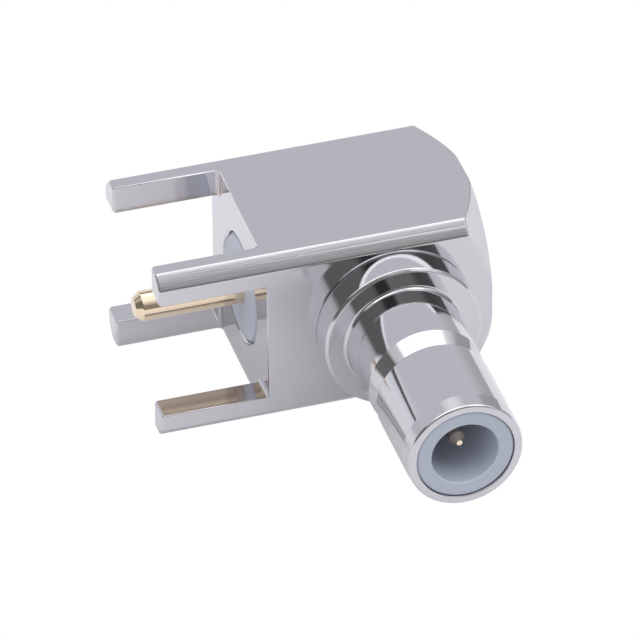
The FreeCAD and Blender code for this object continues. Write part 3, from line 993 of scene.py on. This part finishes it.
@dataclass
class Studio:
    """Light tent with dark openings, a pale card, one soft lamp, and a pale floor.

    The tent is turned so that its top lies on the part's -X side, its back on +Y and its right on +Z.
    Its panels follow each other round the horizon, and their highest levels close them as a roof.

    Attributes:
        floor_height: Floor's surface, just under the legs.
        floor_half: Half the floor's side.
        paper_tint: Colour of the floor's paper.
        card_tint: Colour of the card's paper.
        card_glow: Light that comes through the card from behind.
        card_gap: Card beyond the block's +X side.
        card_front: Strip of the card that goes on behind the block's front edge.
        card_half: Half the card's side.
        card_middle: Half the width of the card's closed middle, between the legs.
        paper_roughness: Roughness of both papers.
        lamp_distance: Lamp from the board pin's axis.
        lamp_size: Side of the lamp.
        lamp_watts: Power of the lamp.
        lamp_towards: Direction in which the lamp hangs.
        brightest: Level that the tent's colours are a share of.
        fill_level: Share of the tent's light that matt surfaces get.
        seam_width: Seam between two panels, in degrees.
        warm_red: Red that a warmth of 1 adds.
        warm_blue: Blue that a warmth of 1 takes away.
        back: Panel behind the part.
        sides: Other panels in order of azimuth.
        back_azimuth: Where the last of them ends and the back starts again, in degrees.
    """

    floor_height: float = -3.455
    floor_half: float = 600.0
    paper_tint: str = "#F2F2F3"
    card_tint: str = "#CBCBCE"
    card_glow: float = 0.26
    card_gap: float = 0.05
    card_front: float = 0.5
    card_half: float = 50.0
    card_middle: float = 2.25
    paper_roughness: float = 0.9
    lamp_distance: float = 160.0
    lamp_size: float = 225.0
    lamp_watts: float = 0.24
    lamp_towards: tuple[float, float, float] = (-0.97, 0.04, 0.2)
    brightest: float = 2.0
    fill_level: float = 0.6
    seam_width: float = 8.0
    warm_red: float = 0.02
    warm_blue: float = 0.06
    back: Panel = Panel(-180.0, (
        (-40, 1.13, 2 * COOL), (-28, 1.13, 2 * COOL), (-2, 1.0, COOL), (8, 0.84, COOL), (20, 0.73, COOL),
        (42, 0.73, COOL), (48, 1.3, NEUTRAL), (52, 1.8, NEUTRAL)))
    sides: tuple[Panel, ...] = (
        Panel(-134.0, (
            (-50, 1.0, NEUTRAL), (-4, 0.9, NEUTRAL), (1, 0.2, WARM), (29, 0.17, WARM),
            (34, 0.76, NEUTRAL), (47, 0.85, NEUTRAL), (51, 1.8, NEUTRAL))),
        Panel(-48.0, (
            (-50, 1.15, NEUTRAL), (-36, 0.88, NEUTRAL), (-1, 0.85, NEUTRAL), (4, 0.22, WARM),
            (40, 0.24, WARM), (48, 0.34, WARM), (53, 0.62, NEUTRAL), (60, 1.0, NEUTRAL),
            (68, 1.6, NEUTRAL))),
        Panel(-21.0, (
            (-50, 1.15, NEUTRAL), (-36, 0.88, NEUTRAL), (-1, 0.85, NEUTRAL), (4, 0.22, WARM),
            (20, 0.12, WARM), (30, 0.05, WARM), (44, 0.06, WARM), (53, 0.55, NEUTRAL),
            (60, 1.0, NEUTRAL), (68, 1.6, NEUTRAL))),
        Panel(-1.0, (
            (-50, 1.15, NEUTRAL), (-36, 0.88, NEUTRAL), (-3, 0.85, NEUTRAL), (3, 0.25, WARM),
            (38, 0.27, WARM), (44.5, 0.42, NEUTRAL), (48.5, 0.47, NEUTRAL), (52, 0.66, NEUTRAL),
            (55.5, 0.78, NEUTRAL), (58, 0.98, NEUTRAL), (64, 1.15, NEUTRAL), (72, 1.3, NEUTRAL))),
        Panel(33.0, (
            (-30, 0.9, NEUTRAL), (-12, 0.85, NEUTRAL), (-8, 0.12, WARM), (24, 0.11, WARM),
            (30, 0.6, NEUTRAL), (38, 1.0, NEUTRAL), (50, 1.2, NEUTRAL), (56, 1.8, NEUTRAL),
            (66, 1.25, NEUTRAL))),
        Panel(43.0, (
            (-30, 0.9, COOL), (0, 0.95, COOL), (30, 0.9, COOL), (40, 1.1, NEUTRAL),
            (46, 1.4, NEUTRAL), (54, 1.8, NEUTRAL), (66, 1.25, NEUTRAL))),
        Panel(62.0, (
            (-30, 1.0, COOL), (-10, 1.0, COOL), (-3, 0.45, NEUTRAL), (22, 0.48, NEUTRAL),
            (33, 0.85, NEUTRAL), (41, 1.05, NEUTRAL), (47, 1.8, NEUTRAL), (65, 1.8, NEUTRAL),
            (76, 1.25, NEUTRAL))),
    )
    back_azimuth: float = 142.0

    def build(self) -> None:
        """Makes the floor, the card, the lamp and the world."""
        self.build_floor(self.paper("pale_paper", self.paper_tint, 0.0))
        self.build_card(self.paper("card_paper", self.card_tint, self.card_glow))
        self.build_lamp()
        self.build_world()

    def paper(self, name: str, tint: str, glow: float) -> bpy.types.Material:
        """Gives matt pale paper that shows on its upper side only, and is clear from below.

        Args:
            name: Material's name.
            tint: Colour of the paper.
            glow: Light that comes through the paper from behind.

        Returns:
            The paper.
        """
        material, tree, shader = start_material(name, tint)
        shader.inputs["Roughness"].default_value = self.paper_roughness
        shader.inputs["Emission Color"].default_value = (1.0, 1.0, 1.0, 1.0)
        shader.inputs["Emission Strength"].default_value = glow
        side = add_node(tree, "ShaderNodeNewGeometry")
        clear = add_node(tree, "ShaderNodeBsdfTransparent")
        mix = add_node(tree, "ShaderNodeMixShader", {}, {
            0: side.outputs["Backfacing"], 1: shader.outputs["BSDF"], 2: clear.outputs["BSDF"]})
        tree.links.new(mix.outputs["Shader"], tree.nodes["Material Output"].inputs["Surface"])
        return material

    def stage_object(self, name: str, corners: np.ndarray, faces: list[list[int]],
                     material: bpy.types.Material) -> bpy.types.Object:
        """Adds a sheet of the studio that casts no shadow, so that the lamp and the tent shine past it.

        Args:
            name: Sheet's name.
            corners: Its corners in millimetres.
            faces: Corner numbers of each face.
            material: Its paper.

        Returns:
            The new object.
        """
        mesh = bpy.data.meshes.new(name)
        mesh.from_pydata((corners * MM).tolist(), [], faces)
        mesh.materials.append(material)
        sheet = bpy.data.objects.new(name, mesh)
        bpy.context.scene.collection.objects.link(sheet)
        sheet.visible_shadow = False
        return sheet

    def build_floor(self, material: bpy.types.Material) -> None:
        """Makes the floor under the legs. Metal sees the tent where the floor is.

        Args:
            material: Paper of the floor.
        """
        half, level = self.floor_half, self.floor_height
        corners = np.array([(-half, -half, level), (half, -half, level),
                            (half, half, level), (-half, half, level)])
        floor = self.stage_object("floor", corners, [[0, 1, 2, 3]], material)
        floor.visible_glossy = False

    def build_card(self, material: bpy.types.Material) -> None:
        """Makes a card beside the part's +X side, which only shows in the metal.

        The card is a grid of rectangles, and those beside the block and its legs are left out, so that
        the face that is turned to the card still sees the tent. Past the block's front edge the card
        goes on a little, so that the chamfer there is dark.

        Args:
            material: Paper of the card.
        """
        low, high = node_box("body_block")
        legs = low[2]
        inner_y = self.card_middle
        front = low[1] + self.card_front
        lines_y = np.array([-self.card_half, front, -inner_y, inner_y, high[1], self.card_half])
        lines_z = np.array([-self.card_half, legs, 0.0, high[2], self.card_half])
        grid_y, grid_z = np.meshgrid(lines_y, lines_z, indexing="ij")
        level = np.full_like(grid_y, high[0] + self.card_gap)
        corners = np.stack([level, grid_y, grid_z], axis=-1).reshape(-1, 3)
        index = np.arange(grid_y.size).reshape(grid_y.shape)
        quads = np.stack([index[:-1, :-1], index[:-1, 1:], index[1:, 1:], index[1:, :-1]], axis=-1)
        middle_y = (lines_y[:-1] + lines_y[1:])[:, None] / 2
        middle_z = (lines_z[:-1] + lines_z[1:])[None, :] / 2
        behind = (middle_y > front) & (middle_y < high[1]) & (middle_z > 0) & (middle_z < high[2])
        legs_there = (abs(middle_y) > inner_y) & (middle_z < 0) & (middle_z > legs)
        behind |= (middle_y > front) & (middle_y < high[1]) & legs_there
        card = self.stage_object("card", corners, quads[~behind].tolist(), material)
        card.visible_camera = False
        card.visible_diffuse = False

    def build_lamp(self) -> None:
        """Hangs one large soft lamp at the tent's top, aimed at the part."""
        towards = Vector(self.lamp_towards).normalized()
        lamp = bpy.data.lights.new("soft_lamp", "AREA")
        lamp.shape = "SQUARE"
        lamp.size = self.lamp_size * MM
        lamp.energy = self.lamp_watts
        holder = bpy.data.objects.new("soft_lamp", lamp)
        holder.location = towards * self.lamp_distance * MM
        holder.rotation_euler = towards.to_track_quat("Z", "Y").to_euler()
        holder.visible_glossy = False
        bpy.context.scene.collection.objects.link(holder)

    def build_world(self) -> None:
        """Paints the tent by direction: white for the camera, and its panels for everything else.

        Matt surfaces get the same tent at its fill level.

        A direction's azimuth a picks the panel, with a soft seam on either side of it, and its
        elevation e picks the brightness by the panel's own levels.
        """
        world = bpy.data.worlds.new("light_tent")
        bpy.context.scene.world = world
        world.use_nodes = True
        tree = world.node_tree
        tree.nodes.clear()
        way = add_node(tree, "ShaderNodeTexCoord")
        split = add_node(tree, "ShaderNodeSeparateXYZ", {}, {"Vector": way.outputs["Generated"]})
        ahead = add_node(tree, "ShaderNodeMath", {"operation": "MULTIPLY"}, {
            0: split.outputs["Y"], 1: -1.0})
        azimuth = add_node(tree, "ShaderNodeMath", {"operation": "ARCTAN2"}, {
            0: split.outputs["Z"], 1: ahead.outputs[0]})
        sink = add_node(tree, "ShaderNodeMath", {"operation": "ARCSINE"}, {0: split.outputs["X"]})
        share = add_node(tree, "ShaderNodeMath", {"operation": "MULTIPLY_ADD"}, {
            0: sink.outputs[0], 1: -1 / math.pi, 2: 0.5})
        tent = self.wall(tree, self.back, share.outputs[0])
        for panel in self.sides:
            tent = self.seam(tree, azimuth.outputs[0], panel.azimuth, tent,
                             self.wall(tree, panel, share.outputs[0]))
        tent = self.seam(tree, azimuth.outputs[0], self.back_azimuth, tent,
                         self.wall(tree, self.back, share.outputs[0]))
        rays = add_node(tree, "ShaderNodeLightPath")
        white = 1 / self.brightest
        shown = add_node(tree, "ShaderNodeMix", {"data_type": "RGBA"}, {
            0: rays.outputs["Is Camera Ray"], 6: tent, 7: (white, white, white, 1.0)})
        backdrop = add_node(tree, "ShaderNodeBackground", {}, {
            "Color": shown.outputs[2], "Strength": self.brightest})
        fill = add_node(tree, "ShaderNodeBackground", {}, {
            "Color": tent, "Strength": self.brightest * self.fill_level})
        mirrored = add_node(tree, "ShaderNodeMath", {"operation": "ADD"}, {
            0: rays.outputs["Is Camera Ray"], 1: rays.outputs["Is Glossy Ray"]})
        seen = add_node(tree, "ShaderNodeMath", {"operation": "ADD", "use_clamp": True}, {
            0: mirrored.outputs[0], 1: rays.outputs["Is Transmission Ray"]})
        mix = add_node(tree, "ShaderNodeMixShader", {}, {
            0: seen.outputs[0], 1: fill.outputs["Background"], 2: backdrop.outputs["Background"]})
        add_node(tree, "ShaderNodeOutputWorld", {}, {"Surface": mix.outputs["Shader"]})

    def wall(self, tree: bpy.types.NodeTree, panel: Panel,
             share: bpy.types.NodeSocket) -> bpy.types.NodeSocket:
        """Paints one panel by elevation.

        Args:
            tree: Node tree of the world.
            panel: The panel.
            share: Elevation, from 0 at the lowest direction to 1 at the highest.

        Returns:
            Socket with the panel's colour, as a share of the brightest level.
        """
        ramp = add_node(tree, "ShaderNodeValToRGB", {}, {"Fac": share})
        stops = ramp.color_ramp.elements
        for index, (elevation, level, warmth) in enumerate(panel.levels):
            place = elevation / 180 + 0.5
            stop = stops[0] if index == 0 else stops.new(place)
            stop.position = place
            tone = level / self.brightest
            red, blue = tone * (1 + self.warm_red * warmth), tone * (1 - self.warm_blue * warmth)
            stop.color = (red, tone, blue, 1.0)
        stops.remove(stops[-1])
        return ramp.outputs["Color"]

    def seam(self, tree: bpy.types.NodeTree, azimuth: bpy.types.NodeSocket, place: float,
             before: bpy.types.NodeSocket, after: bpy.types.NodeSocket) -> bpy.types.NodeSocket:
        """Changes from one panel to the next across a seam.

        Args:
            tree: Node tree of the world.
            azimuth: Azimuth in radians.
            place: Azimuth of the seam in degrees.
            before: Colour on the left of the seam.
            after: Colour on its right.

        Returns:
            Socket with the colour on both sides.
        """
        half = self.seam_width / 2
        turn = add_node(tree, "ShaderNodeMapRange", {"interpolation_type": "SMOOTHSTEP"}, {
            "Value": azimuth, "From Min": math.radians(place - half),
            "From Max": math.radians(place + half)})
        mix = add_node(tree, "ShaderNodeMix", {"data_type": "RGBA"}, {
            0: turn.outputs["Result"], 6: before, 7: after})
        return mix.outputs[2]


@dataclass
class PhotoCamera:
    """Camera that sees the part from the photograph's side, below the board's plane and rolled.

    Attributes:
        place: Where it stands, in millimetres.
        look: Where it looks.
        up: What is up in the picture.
        focal_pixels: Focal length in pixels of a picture 640 pixels wide.
        picture_pixels: Width of that picture.
        sensor: Width of the sensor.
        nearest: Shortest distance that it sees, in metres.
        farthest: Longest distance that it sees, in metres.
    """

    place: tuple[float, float, float] = (-164.424, -218.884, -62.104)
    look: tuple[float, float, float] = (0.58873544, 0.77517113, 0.22912945)
    up: tuple[float, float, float] = (-0.80827516, 0.5613795, 0.17760724)
    focal_pixels: float = 9000.0
    picture_pixels: float = 640.0
    sensor: float = 36.0
    nearest: float = 0.01
    farthest: float = 10.0

    def build(self) -> bpy.types.Object:
        """Makes the camera and makes it the scene's own.

        Returns:
            The camera.
        """
        camera = bpy.data.cameras.new("camera")
        camera.sensor_width = self.sensor
        camera.lens = self.focal_pixels * self.sensor / self.picture_pixels
        camera.clip_start = self.nearest
        camera.clip_end = self.farthest
        holder = bpy.data.objects.new("camera", camera)
        bpy.context.scene.collection.objects.link(holder)
        look = Vector(self.look).normalized()
        right = look.cross(Vector(self.up)).normalized()
        up = right.cross(look)
        turn = Matrix((right, up, -look)).transposed().to_4x4()
        holder.matrix_world = Matrix.Translation(Vector(self.place) * MM) @ turn
        bpy.context.scene.camera = holder
        return holder


def main() -> None:
    """Builds the pieces in order, then the studio and the camera.

    Tool marks and grain on the real plate are finer than the picture shows, so their pitch and
    height here are as coarse as they need to be to soften the reflections.
    """
    logging.basicConfig(level=logging.INFO, format="%(name)s: %(message)s")
    bpy.context.scene.view_settings.view_transform = "Standard"
    milled = NickelPlate("nickel_on_milled_brass", "#CFCDD2", roughness=0.07, mark_pitch=0.05,
                         mark_height=0.0008, grain_size=0.06, grain_height=0.0006, turned=False)
    turned = NickelPlate("nickel_on_turned_brass", "#CFCDD2", roughness=0.05, mark_pitch=0.03,
                         mark_height=0.0004, grain_size=0.08, grain_height=0.0003, turned=True)
    gold = GoldPlate("gold_on_turned_brass", "#F2DEC4", roughness=0.08, mark_pitch=0.03,
                     mark_height=0.0005)
    white = Fluoropolymer("turned_white_fluoropolymer", "#CFD6E4", roughness=0.42, depth=0.12,
                          mark_pitch=0.05, mark_height=0.001)
    milled_metal, turned_metal = milled.material(), turned.material()
    gold_metal, white_plastic = gold.material(), white.material()
    BodyBlock().build(milled_metal)
    front = FrontEnd()
    front.build_barrel(turned_metal)
    front.build_insulator(white_plastic)
    front.dress_contact(gold_metal)
    board_side = BoardSide()
    board_side.build_pin(gold_metal)
    board_side.build_bushing(white_plastic)
    RearCap().build(milled_metal)
    Studio().build()
    PhotoCamera().build()


if __name__ == "__main__":
    main()
